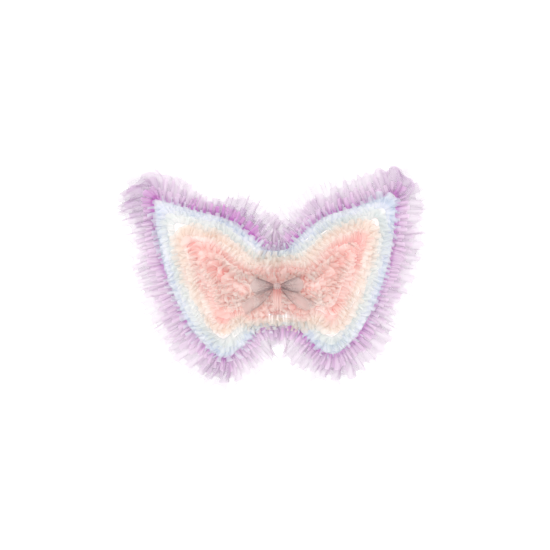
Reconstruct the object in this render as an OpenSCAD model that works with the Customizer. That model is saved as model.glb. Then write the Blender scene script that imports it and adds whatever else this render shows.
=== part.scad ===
// Fairy wings for a child: two wire loops covered in net and rows of gathered
// tulle, hinged on a padded centre that carries a ribbon bow and two arm loops.
// Millimetres. +X is the wearer's left-to-right span, +Z is up, and +Y points
// to the wearer. The origin is on the face that lies against the wearer's back.

/* [Wings] */
// From the centre line to the wire at a wing tip
half_span = 246; // [200:1:290]
// Height of a wing tip above the knot
tip_height = 184; // [150:1:215]
// Depth of a lower lobe below the knot
lobe_depth = 145; // [120:1:170]
// Height of the dip between the wings, above the knot
top_dip = 74; // [66:1:88]
// Depth of the dip between the lower lobes, below the knot
bottom_dip = 82; // [74:1:96]

/* [Wire] */
// Diameter of the steel wire
wire_d = 2; // [1.6:0.1:2.6]
// Running clearance round the wire in its channel
wire_play = 0.06; // [0.03:0.01:0.1]
// From the centre line to the wire that each wing turns on
hinge_x = 14; // [12:0.5:17]
// Wall of the tape channel that holds the wire
channel_wall = 1.5; // [1.2:0.1:1.8]
// Wall of the bias tape sewn round the rest of the wire
casing_wall = 2; // [1.4:0.1:2.4]
// Length of the crimped sleeve that joins the wire's ends
ferrule_l = 11; // [8:1:13]
// Wall of that sleeve
ferrule_wall = 0.7; // [0.5:0.1:1]

/* [Centre pad] */
// Height of the pad
pad_h = 110; // [100:1:116]
// Width of the pad's back
pad_w = 34; // [32:1:38]
// Thickness of each felt patch
felt_t = 2; // [1.5:0.1:2.5]
// Length of the wire channels
channel_l = 82; // [60:1:92]

/* [Ruffles] */
// How far the edge ruffle stands out past the wire
edge_reach = 58; // [40:1:64]
// From the wire to the gathers of the edge ruffle
lilac_inset = 3; // [3:1:8]
// From the wire to the gathers of the blue ruffle
blue_inset = 25; // [20:1:30]
// From the wire to the gathers of the cream ruffle
cream_inset = 39; // [34:1:44]
// From the wire to the gathers of the peach ruffle
peach_inset = 61; // [52:1:66]
// Width of each pink ruffle
pink_width = 14; // [10:1:16]
// How thick a row of ruffles stands
ruffle_t = 10; // [6:1:11]
// Clear space between the ruffles on a wing and the wire it turns on
ruffle_clear = 8; // [7:1:12]
// Width of the ruffles sewn to the pad
centre_w = 17; // [12:1:18]

/* [Bow] */
// From the centre line to the end of a loop
bow_reach = 54; // [40:1:60]
// Height of a loop at its widest
bow_h = 32; // [24:1:38]
// Width of the ribbon in the tails
ribbon_w = 22; // [16:1:26]
// How far a tail reaches to the side
tail_reach = 74; // [55:1:80]
// How far a tail hangs below the knot
tail_drop = 54; // [40:1:64]
// Width of the knot
knot_w = 12; // [9:1:13]

/* [Arm loops] */
// Width of the elastic
elastic_w = 8; // [6:0.5:9]
// Thickness of the elastic
elastic_t = 1.2; // [0.8:0.1:1.5]
// How far an arm loop stands out behind the pad
loop_reach = 78; // [60:1:100]
// How far the loops are turned outwards at rest, in degrees
loop_splay = 20; // [15:1:25]

/* [Hidden] */
$fn = 32;
wire_r = wire_d / 2;
bore_r = wire_r + wire_play;
channel_r = bore_r + channel_wall;
casing_r = bore_r + casing_wall;
// The layers, from the wearer outwards: back patch, channels, front patch.
wire_y = -felt_t - channel_r;
front_felt_y = wire_y - channel_r;
pad_front_y = front_felt_y - felt_t;
// The ruffles at the edge pass in front of the casing, the others lie on the net.
net_t = 0.8;
net_front_y = wire_y - net_t / 2;
edge_back_y = wire_y - casing_r - 0.3;
ruffle_front_y = net_front_y - ruffle_t;
pink_front_y = ruffle_front_y - 2;
centre_back_y = pad_front_y;
knot_back_y = pink_front_y - 3;
knot_t = 14;
// The pad sits a little low, because the lower arm ends pull down.
pad_top = pad_h / 2 - 3;
pad_bottom = pad_top - pad_h;
channel_mid = -3;
// The straight side of the wire loop, which is the hinge pin.
pin_top = top_dip - 8;
pin_bottom = -bottom_dip + 10;
ruffle_x = hinge_x + ruffle_clear;
net_x = hinge_x + channel_r + 1.4;
casing_gap = 5;
gap = 0.3;
strap_end_l = 9;
strap_end_out = 1;
// The turning part of an elastic starts just clear of its sewn end.
strap_start = strap_end_out + 0.4;
tack_in = 5;
tack_w = 1.4;
// Radii that round the rows where they cross between the wings.
close_r = 12;
close_inner_r = 24;
bow_axis_x = knot_w / 2 + 1;
bow_y = knot_back_y - knot_t / 2;
loop_x = elastic_w / 2 + 1.3;
far = 700;

// ---- curves ----

// A point on the curve through b and c at share t, with even spacing kept by
// the square root of each chord.
function knot_after(t, a, b) = t + sqrt(max(norm(b - a), 0.001));
function mix_at(a, b, ta, tb, t) = ((tb - t) * a + (t - ta) * b) / (tb - ta);
function curve_point(a, b, c, d, share) =
    let (
        ta = 0,
        tb = knot_after(ta, a, b),
        tc = knot_after(tb, b, c),
        td = knot_after(tc, c, d),
        t = tb + share * (tc - tb),
        ab = mix_at(a, b, ta, tb, t),
        bc = mix_at(b, c, tb, tc, t),
        cd = mix_at(c, d, tc, td, t),
        abc = mix_at(ab, bc, ta, tc, t),
        bcd = mix_at(bc, cd, tb, td, t)
    ) mix_at(abc, bcd, tb, tc, t);

// The curve through all the points but the first and last, which set its ends.
function curve(points, steps) = [
    for (i = [1 : len(points) - 3])
        for (j = [0 : steps - 1])
            curve_point(points[i - 1], points[i], points[i + 1], points[i + 2], j / steps),
    points[len(points) - 2],
];

// The wire of one wing, from the top of its straight side round to the bottom.
// The points are shares of the span, the tip's height and the lobe's depth.
wing_points = [
    [hinge_x, pin_top - 20],
    [hinge_x, pin_top],
    [hinge_x + 7, pin_top + 14],
    [0.19 * half_span, 0.57 * tip_height],
    [0.38 * half_span, 0.76 * tip_height],
    [0.65 * half_span, 0.87 * tip_height],
    [0.90 * half_span, 0.98 * tip_height],
    [0.98 * half_span, tip_height],
    [half_span, 0.95 * tip_height],
    [0.99 * half_span, 0.68 * tip_height],
    [0.955 * half_span, 0.34 * tip_height],
    [0.88 * half_span, 0],
    [0.755 * half_span, -0.48 * lobe_depth],
    [0.61 * half_span, -0.82 * lobe_depth],
    [0.445 * half_span, -lobe_depth],
    [0.30 * half_span, -0.88 * lobe_depth],
    [0.165 * half_span, pin_bottom - 22],
    [hinge_x + 8, pin_bottom - 10],
    [hinge_x, pin_bottom],
    [hinge_x, pin_bottom + 20],
];
wing_curve = curve(wing_points, 5);

// Both wings and the space between them, as one flat shape.
module butterfly() {
    for (side = [-1, 1]) scale([side, 1]) polygon(wing_curve);
    translate([-hinge_x - 1, pin_bottom - 6]) square([2 * hinge_x + 2, pin_top - pin_bottom + 10]);
}

// The same shape with its edge drawn in. The rows crowd together between the
// wings, so that band narrows less than the wings do.
module drawn_in(inset) {
    top = top_dip - 0.64 * inset;
    bottom = -bottom_dip + 0.33 * inset;
    round_r = inset > blue_inset ? close_inner_r : close_r;
    offset(r = -round_r) offset(r = round_r)
        if (inset <= 0) offset(r = -inset) butterfly();
        else {
            offset(r = 4) offset(r = -4 - inset) butterfly();
            translate([-0.22 * half_span, bottom]) square([0.44 * half_span, top - bottom]);
        }
}

// The band between two insets.
module band(outer, inner) {
    difference() {
        drawn_in(outer);
        drawn_in(inner);
    }
}

// A flat shape in X and Z, drawn out between two depths.
module slab(back_y, front_y) {
    translate([0, back_y, 0]) rotate([90, 0, 0]) linear_extrude(back_y - front_y) children();
}

module right_of(x) { intersection() { children(); translate([x, -far]) square([far, 2 * far]); } }
module within(x) { intersection() { children(); translate([-x, -far]) square([2 * x, 2 * far]); } }
module left_side() { mirror([1, 0, 0]) children(); }

// A tube of the given radius along points in X and Z at the wire's depth.
function tube_rings(points, r, sides) = [
    for (i = [0 : len(points) - 1])
        let (
            before = points[max(i - 1, 0)],
            after = points[min(i + 1, len(points) - 1)],
            along = (after - before) / norm(after - before)
        )
        for (k = [0 : sides - 1])
            let (a = 360 * k / sides)
            [points[i].x + r * cos(a) * along.y, wire_y + r * sin(a), points[i].y - r * cos(a) * along.x],
];
module tube(points, r, sides = 12) {
    last = (len(points) - 1) * sides;
    polyhedron(
        points = tube_rings(points, r, sides),
        faces = [
            [for (k = [0 : sides - 1]) k],
            for (i = [0 : len(points) - 2])
                for (k = [0 : sides - 1])
                    let (a = i * sides + k, b = i * sides + (k + 1) % sides)
                    [a, a + sides, b + sides, b],
            [for (k = [sides - 1 : -1 : 0]) last + k],
        ]
    );
}

// ---- centre pad ----

module rounded_pad(back_y, front_y, w, h, r = 8) {
    mid = (pad_top + pad_bottom) / 2;
    translate([0, back_y, mid]) rotate([90, 0, 0]) linear_extrude(back_y - front_y) {
        square([w - 2 * r, h], center = true);
        square([w, h - 2 * r], center = true);
        for (x = [-1, 1], z = [-1, 1]) translate([x * (w / 2 - r), z * (h / 2 - r)]) circle(r);
    }
}

module back_patch() { color("mistyrose") rounded_pad(0, -felt_t, pad_w, pad_h); }
module front_patch() {
    color("mistyrose") rounded_pad(front_felt_y, pad_front_y, 2 * hinge_x + 2, pad_h);
}

// Wadding between the patches and the two channels, short of the strap ends.
module pad_filling() {
    w = 2 * (hinge_x - channel_r - gap);
    color("white") translate([-w / 2, front_felt_y, channel_mid - channel_l / 2])
        cube([w, 2 * channel_r, channel_l]);
}

module wire_channel() {
    color("white") translate([hinge_x, wire_y, channel_mid - channel_l / 2])
        difference() {
            cylinder(r = channel_r, h = channel_l);
            translate([0, 0, -1]) cylinder(r = bore_r, h = channel_l + 2);
        }
}

// The ends of both elastics, sewn between the patches. Each shows a little.
module strap_ends() {
    color("white") for (side = [-1, 1], z = [pad_top - strap_end_l + strap_end_out, pad_bottom - strap_end_out])
        translate([side * loop_x - elastic_w / 2, wire_y - elastic_t / 2, z])
            cube([elastic_w, elastic_t, strap_end_l]);
}

// Bar tacks: bundles of pink thread that go from each strap end to the patch
// behind it and the patch in front of it.
module bar_tacks() {
    l = elastic_w - 2;
    t = channel_r - elastic_t / 2;
    color("pink") for (side = [-1, 1], z = [pad_top - tack_in, pad_bottom + tack_in])
        for (y = [front_felt_y, wire_y + elastic_t / 2])
            translate([side * loop_x - l / 2, y, z - tack_w / 2]) cube([l, t, tack_w]);
}

// ---- wings ----

// One steel wire: the straight pin in the channel, and the loop that starts and
// ends on it.
module wire_frame() {
    color("silver") {
        translate([hinge_x, wire_y, pin_bottom - 0.5])
            cylinder(r = wire_r, h = pin_top - pin_bottom + 1);
        tube(wing_curve, wire_r);
    }
}

// The crimped sleeve round the two ends of the wire, below the pad.
module wire_ferrule() {
    color("silver") translate([hinge_x, wire_y, pin_bottom + 1])
        difference() {
            cylinder(r = wire_r + ferrule_wall, h = ferrule_l);
            translate([0, 0, -1]) cylinder(r = wire_r, h = ferrule_l + 2);
        }
}

// Bias tape folded round the wire, all the way round the loop.
module wire_casing() {
    n = len(wing_curve);
    path = [for (i = [casing_gap : n - 1 - casing_gap]) wing_curve[i]];
    color("plum") difference() {
        tube(path, casing_r);
        tube([for (i = [casing_gap - 1 : n - casing_gap]) wing_curve[i]], bore_r);
    }
}

// Stiff net sewn to the casing: the ground that the ruffles are sewn on.
module wing_net() {
    color("ivory") slab(wire_y + net_t / 2, net_front_y)
        right_of(net_x) offset(delta = -casing_r) polygon(wing_curve);
}

// What lies on the net stays inside the casing.
module inside_casing() {
    intersection() {
        children();
        offset(delta = -casing_r - gap) polygon(wing_curve);
    }
}

// The edge ruffle crosses in front of the casing. Its seam reaches the net.
module lilac_edge() {
    color("plum") {
        slab(edge_back_y, ruffle_front_y) right_of(ruffle_x) band(-edge_reach, lilac_inset + 3);
        slab(net_front_y, edge_back_y)
            inside_casing() right_of(ruffle_x) band(lilac_inset + 1, lilac_inset + 3);
    }
}

module ruffle(outer, inner, front_y) {
    slab(net_front_y, front_y) inside_casing() right_of(ruffle_x) band(outer, inner);
}

module blue_ruffle() { color("lightblue") ruffle(lilac_inset + 3, blue_inset, ruffle_front_y); }
module cream_ruffle() { color("beige") ruffle(blue_inset, cream_inset, ruffle_front_y); }
module peach_ruffle() { color("peachpuff") ruffle(cream_inset, peach_inset, ruffle_front_y); }

// Pink rows fill the middle of each wing.
module pink_outer() { color("pink") ruffle(peach_inset, peach_inset + pink_width, pink_front_y); }
module pink_middle() {
    color("pink") ruffle(peach_inset + pink_width, peach_inset + 2 * pink_width, pink_front_y);
}
module pink_inner() {
    color("pink") slab(net_front_y, pink_front_y)
        right_of(ruffle_x) drawn_in(peach_inset + 2 * pink_width);
}

// ---- ruffles on the pad ----

module centre_band(outer, inner, front_y) {
    slab(centre_back_y, front_y) within(centre_w / 2) band(outer, inner);
}
module lilac_centre() {
    color("plum") centre_band(-edge_reach, lilac_inset + 3, ruffle_front_y);
}
module blue_centre() { color("lightblue") centre_band(lilac_inset + 3, blue_inset, ruffle_front_y); }
module cream_centre() { color("beige") centre_band(blue_inset, cream_inset, ruffle_front_y); }
module peach_centre() { color("peachpuff") centre_band(cream_inset, peach_inset, ruffle_front_y); }
module pink_centre() {
    color("pink") slab(centre_back_y, pink_front_y) within(centre_w / 2) drawn_in(peach_inset);
}

// ---- bow ----

// A flattened ball of wrapped ribbon on a short shank that is sewn to the pad.
module bow_knot() {
    color("darkgray") {
        translate([0, bow_y, 0]) rotate([90, 0, 0])
            cylinder(d = knot_w, h = knot_t, center = true);
        translate([0, knot_back_y, 0]) rotate([-90, 0, 0])
            cylinder(d = knot_w / 2, h = pink_front_y - knot_back_y);
    }
}

// A loop of ribbon, seen from above: narrow at the knot, full in the middle.
module bow_loop() {
    x0 = bow_axis_x + 2;
    back = knot_back_y - 3;
    front = bow_y - knot_t / 2 + 1;
    color("darkgray") intersection() {
        translate([0, 0, -far]) linear_extrude(2 * far) polygon([
            [x0, bow_y - 2.5], [x0, bow_y + 2.5], [x0 + 10, back],
            [bow_reach - 6, back], [bow_reach, bow_y], [bow_reach - 6, front], [x0 + 10, front],
        ]);
        translate([0, far, 0]) rotate([90, 0, 0]) linear_extrude(2 * far) polygon([
            [x0, -5], [x0, 5], [x0 + 18, 0.5 * bow_h + 1], [bow_reach - 8, 0.5 * bow_h + 1],
            [bow_reach, 6], [bow_reach, -8], [bow_reach - 8, -0.5 * bow_h + 1],
            [x0 + 18, -0.5 * bow_h + 2],
        ]);
    }
}

// A tail of ribbon that hangs down and out, behind the loop.
module bow_tail() {
    x0 = bow_axis_x + 3;
    back = knot_back_y - 0.2;
    front = knot_back_y - 2.7;
    color("darkgray") slab(back, front) polygon([
        [x0, 3], [x0 + 12, -2], [tail_reach, -tail_drop + ribbon_w],
        [tail_reach - 7, -tail_drop + ribbon_w / 2], [tail_reach - 14, -tail_drop],
        [x0 + 4, -ribbon_w + 4], [x0, -6],
    ]);
}

// ---- arm loops ----

// The elastic leaves the top of the pad, goes round the arm and comes back in
// at the bottom. These are depth behind the wire and height, as shares of the
// reach and set by the pad's ends.
loop_points = [
    [0, pad_top - 8],
    [0, pad_top + strap_start],
    [0.02, pad_top + 10],
    [0.12, pad_top + 27],
    [0.37, pad_top + 37],
    [0.68, pad_top + 29],
    [0.92, pad_top - 2],
    [1.00, 0.1 * pad_h],
    [0.95, -0.33 * pad_h],
    [0.75, pad_bottom - 14],
    [0.44, pad_bottom - 32],
    [0.15, pad_bottom - 26],
    [0.03, pad_bottom - 11],
    [0, pad_bottom - strap_start],
    [0, pad_bottom + 8],
];
loop_curve = curve([for (p = loop_points) [p.x * (loop_reach - wire_y), p.y]], 5);

function side_points(points, d) = [
    for (i = [0 : len(points) - 1])
        let (
            before = points[max(i - 1, 0)],
            after = points[min(i + 1, len(points) - 1)],
            along = (after - before) / norm(after - before)
        ) [points[i].x + d * along.y, points[i].y - d * along.x],
];
module arm_strap() {
    inner = side_points(loop_curve, elastic_t / 2);
    outer = side_points(loop_curve, -elastic_t / 2);
    color("white") translate([loop_x, wire_y, 0]) rotate([0, 0, -loop_splay])
        translate([-elastic_w / 2, 0, 0]) rotate([90, 0, 90]) linear_extrude(elastic_w)
            polygon(concat(inner, [for (i = [len(outer) - 1 : -1 : 0]) outer[i]]));
}

back_patch();
front_patch();
pad_filling();
left_side() wire_channel();  // wire_channel_left
wire_channel();  // wire_channel_right
strap_ends();
bar_tacks();
lilac_centre();
blue_centre();
cream_centre();
peach_centre();
pink_centre();
bow_knot();
left_side() wire_frame();  // wire_frame_left
left_side() wire_ferrule();  // wire_ferrule_left
left_side() wire_casing();  // wire_casing_left
left_side() wing_net();  // wing_net_left
left_side() lilac_edge();  // lilac_edge_left
left_side() blue_ruffle();  // blue_ruffle_left
left_side() cream_ruffle();  // cream_ruffle_left
left_side() peach_ruffle();  // peach_ruffle_left
left_side() pink_outer();  // pink_outer_left
left_side() pink_middle();  // pink_middle_left
left_side() pink_inner();  // pink_inner_left
wire_frame();  // wire_frame_right
wire_ferrule();  // wire_ferrule_right
wire_casing();  // wire_casing_right
wing_net();  // wing_net_right
lilac_edge();  // lilac_edge_right
blue_ruffle();  // blue_ruffle_right
cream_ruffle();  // cream_ruffle_right
peach_ruffle();  // peach_ruffle_right
pink_outer();  // pink_outer_right
pink_middle();  // pink_middle_right
pink_inner();  // pink_inner_right
left_side() bow_loop();  // bow_loop_left
left_side() bow_tail();  // bow_tail_left
bow_loop();  // bow_loop_right
bow_tail();  // bow_tail_right
left_side() arm_strap();  // arm_strap_left
arm_strap();  // arm_strap_right
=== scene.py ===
import math

import bpy
import numpy as np
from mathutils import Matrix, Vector
from mathutils.geometry import delaunay_2d_cdt


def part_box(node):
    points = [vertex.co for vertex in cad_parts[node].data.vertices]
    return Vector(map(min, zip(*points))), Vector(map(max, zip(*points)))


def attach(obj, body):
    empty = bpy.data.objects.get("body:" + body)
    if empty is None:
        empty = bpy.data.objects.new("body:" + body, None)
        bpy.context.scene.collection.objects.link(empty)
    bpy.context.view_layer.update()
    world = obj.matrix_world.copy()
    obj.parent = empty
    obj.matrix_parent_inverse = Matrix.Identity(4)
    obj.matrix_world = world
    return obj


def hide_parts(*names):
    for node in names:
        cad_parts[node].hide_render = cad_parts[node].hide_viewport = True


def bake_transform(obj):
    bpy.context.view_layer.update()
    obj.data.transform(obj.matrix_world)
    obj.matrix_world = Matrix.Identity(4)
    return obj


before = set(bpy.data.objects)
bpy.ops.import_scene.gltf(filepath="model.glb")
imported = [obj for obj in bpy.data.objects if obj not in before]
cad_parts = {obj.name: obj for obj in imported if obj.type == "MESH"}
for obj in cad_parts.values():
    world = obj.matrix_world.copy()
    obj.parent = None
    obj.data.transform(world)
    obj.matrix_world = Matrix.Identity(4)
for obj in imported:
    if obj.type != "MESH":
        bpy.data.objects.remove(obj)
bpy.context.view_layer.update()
mm = 0.001

# ---- Camera, light and floor -------------------------------------------------
# The wings float upright, seen square on from the front, a touch rolled. The
# light is a white studio with one large soft lamp high on the left.

stand_off = 3.2
view_width = 1.1
roll = math.radians(1.4)
sensor_width = 36.0

eye = bpy.data.cameras.new("front_camera")
eye.sensor_width = sensor_width
eye.lens = sensor_width * stand_off / view_width
camera = bpy.data.objects.new("front_camera", eye)
camera.location = (-3.5 * mm, -stand_off, 22 * mm)
camera.rotation_euler = (math.pi / 2, roll, 0)
bpy.context.scene.collection.objects.link(camera)
bpy.context.scene.camera = camera

studio = bpy.data.worlds.new("white_studio")
studio.use_nodes = True
backdrop = studio.node_tree.nodes["Background"]
backdrop.inputs["Color"].default_value = (1, 1, 1, 1)
backdrop.inputs["Strength"].default_value = 1.2
bpy.context.scene.world = studio
bpy.context.scene.view_settings.view_transform = "Standard"
bpy.context.scene.cycles.transparent_max_bounces = 48


def soft_lamp(name, place, size, watts):
    """A square lamp that shines at the origin."""
    lamp = bpy.data.lights.new(name, "AREA")
    lamp.size = size
    lamp.energy = watts
    holder = bpy.data.objects.new(name, lamp)
    holder.location = place
    holder.rotation_euler = (-Vector(place)).to_track_quat("-Z", "Y").to_euler()
    bpy.context.scene.collection.objects.link(holder)


soft_lamp("key_lamp", (-1.3, -1.8, 1.9), 1.0, 14)

floor_radius = 1.2
floor_height = -0.8
floor_turns = np.linspace(0, 2 * math.pi, 96)[:-1]
rim = [(floor_radius * math.cos(a), floor_radius * math.sin(a), floor_height) for a in floor_turns]
floor_mesh = bpy.data.meshes.new("floor")
floor_mesh.from_pydata(rim, [], [list(range(len(rim)))])
floor = bpy.data.objects.new("floor", floor_mesh)
bpy.context.scene.collection.objects.link(floor)
floor_paint = bpy.data.materials.new("pale_floor")
floor_paint.use_nodes = True
floor_shader = floor_paint.node_tree.nodes["Principled BSDF"]
floor_shader.inputs["Base Color"].default_value = (0.86, 0.86, 0.87, 1)
floor_shader.inputs["Roughness"].default_value = 0.9
floor_mesh.materials.append(floor_paint)

# ---- Wire loops and sleeves --------------------------------------------------
# One spring-steel wire to a wing, bent to its outline. The wire's two ends lie
# side by side in a soft aluminium sleeve that is crimped shut in three places.


def colour(red, green, blue):
    """A screen colour, each part from 0 to 255, as the linear colour that a shader takes."""
    parts = [c / 255 for c in (red, green, blue)]
    return tuple(c / 12.92 if c < 0.04045 else ((c + 0.055) / 1.055) ** 2.4 for c in parts) + (1.0,)


class Finish:
    """A material with only its own shader, and the nodes that vary it over a piece."""

    def __init__(self, name, **sockets):
        self.material = bpy.data.materials.new(name)
        self.material.use_nodes = True
        self.tree = self.material.node_tree
        self.shader = self.tree.nodes["Principled BSDF"]
        self.fill_in(self.shader, sockets)
        self.places = self.add("ShaderNodeTexCoord").outputs

    def fill_in(self, node, sockets):
        """Sets a node's sockets. A space in a socket's name is written as _."""
        for socket, value in sockets.items():
            node.inputs[socket.replace("_", " ")].default_value = value

    def add(self, kind, laid_by=None, **sockets):
        """A new node, laid out by the coordinates that are given."""
        node = self.tree.nodes.new(kind)
        self.fill_in(node, sockets)
        if laid_by is not None:
            self.link(laid_by, node.inputs["Vector"])
        return node

    def noise(self, laid_by=None, **sockets):
        """The value of a cloudy texture, which stays on the piece."""
        return self.add("ShaderNodeTexNoise", laid_by or self.places["Object"], **sockets).outputs["Fac"]

    def waves(self, direction, laid_by, **sockets):
        """The value of a texture of even bands."""
        node = self.add("ShaderNodeTexWave", laid_by, **sockets)
        node.bands_direction = direction
        return node.outputs["Fac"]

    def tone(self):
        """The tone that each spot of a cloth carries: dye, and on the gathered strips and the bow painted
        shade and highlight as well.
        """
        node = self.add("ShaderNodeAttribute")
        node.attribute_name = "tone"
        return node.outputs["Fac"]

    def link(self, output, socket):
        """Feeds a socket from a node's output."""
        self.tree.links.new(output, socket)

    def combine(self, operation, *values):
        """One value from several outputs and plain numbers."""
        node = self.add("ShaderNodeMath")
        node.operation = operation
        for socket, value in zip(node.inputs, values):
            if isinstance(value, float):
                socket.default_value = value
            else:
                self.link(value, socket)
        return node.outputs[0]

    def tint(self, value, start, end, low=0.0, high=1.0):
        """Colours the shader from start to end as a value goes from low to high."""
        ramp = self.add("ShaderNodeValToRGB")
        for stop, place, shade in zip(ramp.color_ramp.elements, (low, high), (start, end)):
            stop.position = place
            stop.color = shade
        self.link(value, ramp.inputs["Fac"])
        self.link(ramp.outputs["Color"], self.shader.inputs["Base Color"])

    def relief(self, height, strength, depth, sunk=False):
        """Raises the surface by a value, or sinks it."""
        bump = self.add("ShaderNodeBump", Strength=strength, Distance=depth)
        bump.invert = sunk
        self.link(height, bump.inputs["Height"])
        self.link(bump.outputs["Normal"], self.shader.inputs["Normal"])


def metal(name, tint, roughness, scratches):
    """Bare metal with fine drawing marks and dull patches."""
    finish = Finish(name, Base_Color=tint, Metallic=1.0)
    marks = finish.noise(Scale=scratches, Detail=4.0, Roughness=0.7)
    dull = finish.add("ShaderNodeMapRange", From_Min=0.3, From_Max=0.7, To_Min=roughness)
    dull.inputs["To Max"].default_value = roughness + 0.2
    finish.link(marks, dull.inputs["Value"])
    finish.link(dull.outputs["Result"], finish.shader.inputs["Roughness"])
    finish.relief(marks, 0.3, 0.1 * mm)
    return finish.material


def refinish(node, material):
    """Gives a CAD node that keeps its shape its real finish."""
    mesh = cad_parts[node].data
    mesh.materials.clear()
    mesh.materials.append(material)


def smooth_mesh(name, spots, faces, material):
    """A smooth mesh object of one material."""
    mesh = bpy.data.meshes.new(name)
    mesh.from_pydata([tuple(map(float, spot)) for spot in spots], [], faces)
    mesh.polygons.foreach_set("use_smooth", [True] * len(mesh.polygons))
    mesh.materials.append(material)
    piece = bpy.data.objects.new(name, mesh)
    bpy.context.scene.collection.objects.link(piece)
    return piece


def solid(name, spots, faces, material, body):
    """A smooth mesh piece that rides on a body."""
    piece = smooth_mesh(name, spots, faces, material)
    piece.data.validate()
    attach(piece, body)
    return piece


def ring_faces(rings, sides, start=0, inside_out=False, capped=False):
    """The faces between each ring of spots and the next, and over both ends if capped."""
    faces = []
    for i in range(start, start + rings * sides, sides):
        for j in range(sides):
            k = (j + 1) % sides
            faces.append((i + j, i + k, i + sides + k, i + sides + j))
    if capped:
        last = start + rings * sides
        faces += [tuple(range(start, start + sides))[::-1], tuple(range(last, last + sides))]
    return [face[::-1] for face in faces] if inside_out else faces


spring_steel = metal("spring_steel", (0.62, 0.62, 0.64, 1), 0.25, 900.0)
sleeve_metal = metal("soft_aluminium", (0.78, 0.78, 0.8, 1), 0.35, 500.0)
crimps = (0.2, 0.5, 0.8)
crimp_depth, crimp_spread = 0.22, 0.07
lip_depth, lip_spread = 0.06, 0.03
bore_share = 0.62
sleeve_rings, sleeve_sides = 44, 28
for word in ("left", "right"):
    refinish(f"wire_frame_{word}", spring_steel)
    low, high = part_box(f"wire_ferrule_{word}")
    middle, outside = (low + high) / 2, (high.x - low.x) / 2
    # The rings go up the outside, over the top lip and down the bore.
    rings = []
    for share in np.linspace(0, 1, sleeve_rings + 1):
        pinch = crimp_depth * sum(math.exp(-((share - c) / crimp_spread) ** 2) for c in crimps)
        lip = lip_depth * sum(math.exp(-((share - end) / lip_spread) ** 2) for end in (0, 1))
        rings.append((low.z + share * (high.z - low.z), 1 - lip, pinch))
    rings += [(high.z, bore_share, 0), (low.z, bore_share, 0)]
    spots = []
    for z, wide, pinch in rings:
        for a in (2 * math.pi * j / sleeve_sides for j in range(sleeve_sides)):
            radius = outside * (wide - pinch * math.cos(a) ** 4)
            spots.append((middle.x + radius * math.cos(a), middle.y + radius * math.sin(a), z))
    faces = ring_faces(len(rings) - 1, sleeve_sides)
    last = len(spots) - sleeve_sides
    for j in range(sleeve_sides):
        k = (j + 1) % sleeve_sides
        faces.append((last + j, last + k, k, j))
    sleeve = solid(f"crimped_sleeve_{word}", spots, faces, sleeve_metal, f"wing_{word}")
    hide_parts(f"wire_ferrule_{word}")

# ---- Wire casings ------------------------------------------------------------
# Cotton tape cut on the bias is folded round each wire and sewn down along its
# inner edge with a running stitch.


def woven(name, light, dark, threads, slant=0.0, roughness=0.85):
    """Plain or bias-cut woven tape: two sets of threads that cross, threads to the metre."""
    finish = Finish(name, Roughness=roughness, Sheen_Weight=0.2)
    turned = finish.add("ShaderNodeMapping", finish.places["Object"], Rotation=(0, slant, 0))
    cut_way = turned.outputs["Vector"]
    # At a scale of 1, the bands have 20 radians to the metre.
    scale = 2 * math.pi * threads / 20
    sets = [finish.waves(way, cut_way, Scale=scale, Distortion=0.6, Detail=1.0) for way in ("X", "Z")]
    weave = finish.combine("MULTIPLY", *sets)
    wear = finish.noise(Scale=60.0, Detail=3.0)
    finish.tint(finish.combine("MULTIPLY_ADD", weave, 0.5, wear), dark, light, 0.3, 0.95)
    finish.relief(weave, 0.6, 0.2 * mm)
    return finish.material


def sewing_thread(name, tint):
    """Twisted polyester thread."""
    finish = Finish(name, Roughness=0.55)
    darker = tuple(0.72 * c for c in tint[:3]) + (1.0,)
    finish.tint(finish.noise(Scale=240.0), darker, tint, high=0.6)
    twist = finish.waves("DIAGONAL", finish.places["Object"], Scale=900.0, Distortion=1.0)
    finish.relief(twist, 0.4, 0.1 * mm)
    return finish.material


def flat_loops(mesh, places):
    """The loops of points round the lowest flat face of a CAD mesh, the longest
    last. Each place is a vertex's height over that face and its two places in it."""
    mesh.calc_loop_triangles()
    level = min(place[0] for place in places) + 1e-5
    spots = [(round(place[1], 4), round(place[2], 4)) for place in places]
    edges = set()
    for triangle in mesh.loop_triangles:
        a, b, c = triangle.vertices
        if all(places[i][0] < level for i in (a, b, c)):
            for pair in ({spots[a], spots[b]}, {spots[b], spots[c]}, {spots[c], spots[a]}):
                edges ^= {frozenset(pair)} if len(pair) == 2 else set()
    beside = {}
    for a, b in edges:
        beside.setdefault(a, set()).add(b)
        beside.setdefault(b, set()).add(a)
    loops = []
    while any(beside.values()):
        loop = [min(a for a in beside if beside[a])]
        while beside[loop[-1]]:
            spot = min(beside[loop[-1]])
            beside[loop[-1]].discard(spot)
            beside[spot].discard(loop[-1])
            loop.append(spot)
        loops.append(np.array(loop[:-1]))
    return sorted(loops, key=len)


def front_loops(node):
    """The loops of points (x, z) round the front face of a flat CAD slab."""
    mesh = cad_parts[node].data
    return flat_loops(mesh, [(v.co.y, v.co.x, v.co.z) for v in mesh.vertices])


def evenly(points, step):
    """The same line with its points a step apart."""
    points = np.asarray(points, float)
    along = np.concatenate([[0], np.cumsum(np.linalg.norm(np.diff(points, axis=0), axis=1))])
    places = np.linspace(0, along[-1], max(3, round(along[-1] / step) + 1))
    return np.stack([np.interp(places, along, points[:, k]) for k in (0, 1)], axis=1)


def evenly_round(loop, step):
    """A closed line with its points a step apart."""
    return evenly(np.vstack([loop, loop[:1]]), step)[:-1]


def smoothed(values, count):
    """A running mean over count neighbours each way, with the ends held."""
    kernel = np.hanning(2 * count + 3)[1:-1]
    kernel /= kernel.sum()
    padded = np.pad(values, ((count, count), (0, 0)), mode="edge")
    return np.stack([np.convolve(padded[:, k], kernel, "valid") for k in range(values.shape[1])], axis=1)


path_step = 1.2 * mm


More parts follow.
